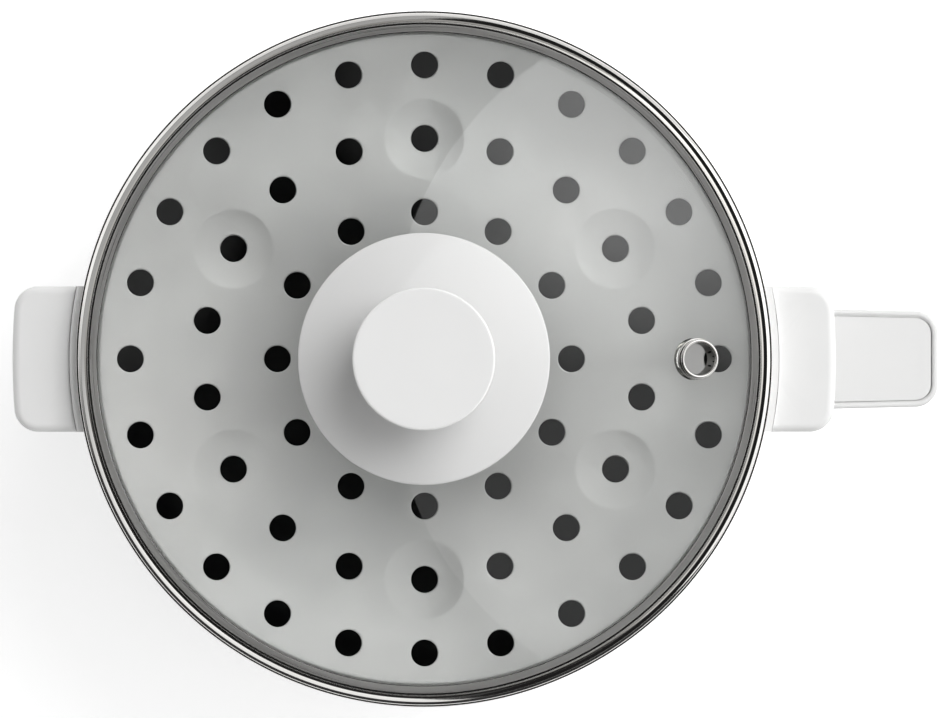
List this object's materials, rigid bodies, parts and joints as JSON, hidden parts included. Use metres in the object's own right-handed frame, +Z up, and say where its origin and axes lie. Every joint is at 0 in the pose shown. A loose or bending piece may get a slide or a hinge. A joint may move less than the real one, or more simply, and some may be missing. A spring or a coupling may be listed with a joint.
{
  "type": "electric food steamer",
  "caption": "Electric food steamer: round heated water pot with a control handle, a stacking steaming tier with side lugs, a perforated egg tray and a lift-off domed glass lid.",
  "frame": {"origin": "point on the table under the vessel's axis, in the plane of the foot ring's underside", "axes": "+Z up along the vessel's axis, +X along the control handle, +Y to the left of someone facing along +X"},
  "size_m": [0.3072, 0.23, 0.2255],
  "materials": {
    "white_plastic": "satin",
    "knob_plastic": "satin",
    "tray_steel": "satin",
    "pot_coating": "satin",
    "shield_steel": "satin",
    "rim_steel": "polished",
    "fastener_steel": "satin",
    "lid_glass": "polished",
    "foot_rubber": "matte",
    "gasket_silicone": "matte",
    "plate_aluminium": "satin",
    "heater_steel": "matte",
    "seal_ceramic": "matte",
    "black_plastic": "satin",
    "plunger_plastic": "satin",
    "fuse_body": "matte",
    "brass": "satin",
    "board_green": "satin",
    "lead_sleeve": "satin"
  },
  "bodies": {
    "base": {"foot_ring": "foot_rubber", "bottom_cover": "white_plastic", "cover_screws": "fastener_steel", "outer_shell": "white_plastic", "inner_pot": "pot_coating", "pot_studs": "fastener_steel", "stud_nuts": "fastener_steel", "heat_shield": "shield_steel", "heater_plate": "plate_aluminium", "heater_tube": "heater_steel", "heater_seals": "seal_ceramic", "heater_pins": "fastener_steel", "thermostat": "black_plastic", "thermostat_strap": "fastener_steel", "strap_screws": "fastener_steel", "thermal_fuse": "fuse_body", "fuse_clip": "fastener_steel", "mains_inlet": "black_plastic", "inlet_pins": "brass", "inner_leads": "lead_sleeve", "lead_bush": "foot_rubber", "handle_shell": "white_plastic", "handle_screws": "fastener_steel", "key_pin": "fastener_steel", "key_spring": "fastener_steel", "control_board": "board_green", "board_screws": "fastener_steel", "power_relay": "black_plastic", "power_switch": "black_plastic"},
    "tier": {"steamer_ring": "white_plastic", "left_lug": "white_plastic", "right_lug": "white_plastic", "lug_screws": "fastener_steel"},
    "tray": {"steam_tray": "tray_steel"},
    "lid": {"lid_rim": "rim_steel", "lid_glass": "lid_glass", "vent_eyelet": "rim_steel", "knob_skirt": "knob_plastic", "knob_head": "knob_plastic", "knob_insert": "brass", "knob_screw": "fastener_steel", "knob_washer": "fastener_steel", "upper_gasket": "gasket_silicone", "lower_gasket": "gasket_silicone"},
    "key": {"control_key": "white_plastic"},
    "plunger": {"switch_plunger": "plunger_plastic"}
  },
  "joints": [
    {"name": "tier_lift", "type": "slide", "parent": "base", "child": "tier", "axis": [0, 0, 1], "range_m": [0, 0.12]},
    {"name": "tray_lift", "type": "slide", "parent": "tier", "child": "tray", "axis": [0, 0, 1], "range_m": [0, 0.09]},
    {"name": "lid_lift", "type": "slide", "parent": "tray", "child": "lid", "axis": [0, 0, 1], "range_m": [0, 0.1]},
    {"name": "key_press", "type": "hinge", "parent": "base", "child": "key", "pos_m": [0.1274, 0, 0.0794], "axis": [0, 1, 0], "range_deg": [0, 2.2], "stiffness_Nm_per_rad": 1, "springref_deg": -1.72, "deforming": ["key_spring"]},
    {"name": "plunger_slide", "type": "slide", "parent": "base", "child": "plunger", "axis": [0, 0, -1], "range_m": [0, 0.00095]}
  ],
  "couplings": [
    {"joint": "plunger_slide", "follows": "key_press", "m_per_rad": 0.024}
  ]
}
